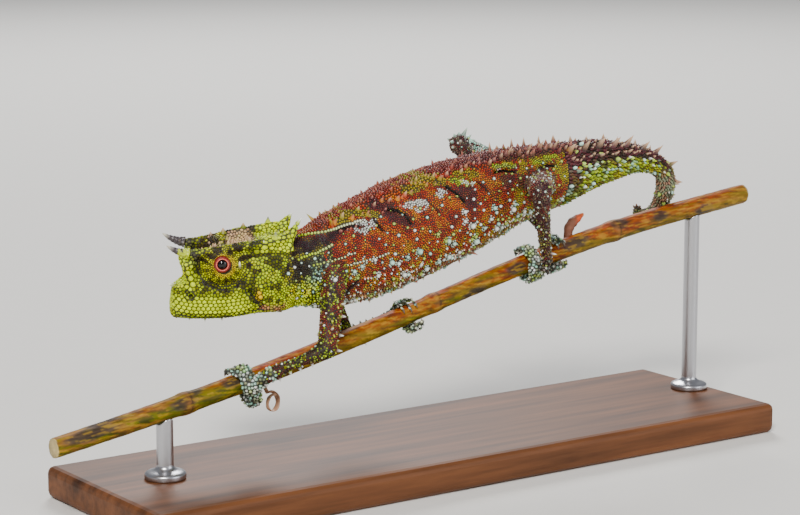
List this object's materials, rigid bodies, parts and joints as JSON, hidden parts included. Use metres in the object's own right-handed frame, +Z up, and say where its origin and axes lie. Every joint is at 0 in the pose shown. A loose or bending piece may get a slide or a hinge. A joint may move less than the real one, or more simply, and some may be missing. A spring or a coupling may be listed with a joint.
{
  "type": "leaf chameleon model",
  "caption": "Still, life-size model of a leaf chameleon gripping a short cut length of slanting stem, on a flat base with short rods.",
  "frame": {"origin": "centre of the underside of the display base, on the surface it stands on", "axes": "+Z up, +X from the head towards the tail along the stem, +Y to the animal's right side"},
  "size_m": [0.094, 0.024, 0.0361],
  "materials": {
    "head_skin": "matte yellow-green scales with dark grooves",
    "body_skin": "matte brick-red granular skin with yellow-green and pale turquoise tubercles",
    "tail_skin": "matte yellow-green and purple-brown scales with soft spines",
    "limb_skin": "matte purple-brown scales with pale bead rows",
    "horn": "dull grey horn with a pale tip",
    "eye": "wet gloss black",
    "plant_stem": "smooth orange-brown plant stem with dark blotches",
    "stand_wood": "dark stained wood, satin",
    "stand_steel": "brushed"
  },
  "bodies": {
    "root": {"eye_left": "eye", "eye_right": "eye", "foot_left": "limb_skin", "foot_right": "limb_skin", "forearm_left": "limb_skin", "forearm_right": "limb_skin", "hand_left": "limb_skin", "hand_right": "limb_skin", "head": "head_skin", "horn_left": "horn", "horn_right": "horn", "neck": "body_skin", "perch_stem": "plant_stem", "shank_left": "limb_skin", "shank_right": "limb_skin", "stand_base": "stand_wood", "stand_rod_front": "stand_steel", "stand_rod_rear": "stand_steel", "tail_base": "tail_skin", "tail_bend": "tail_skin", "tail_middle": "tail_skin", "tail_tip": "tail_skin", "thigh_left": "limb_skin", "thigh_right": "limb_skin", "torso": "body_skin", "upper_arm_left": "limb_skin", "upper_arm_right": "limb_skin"}
  },
  "joints": []
}
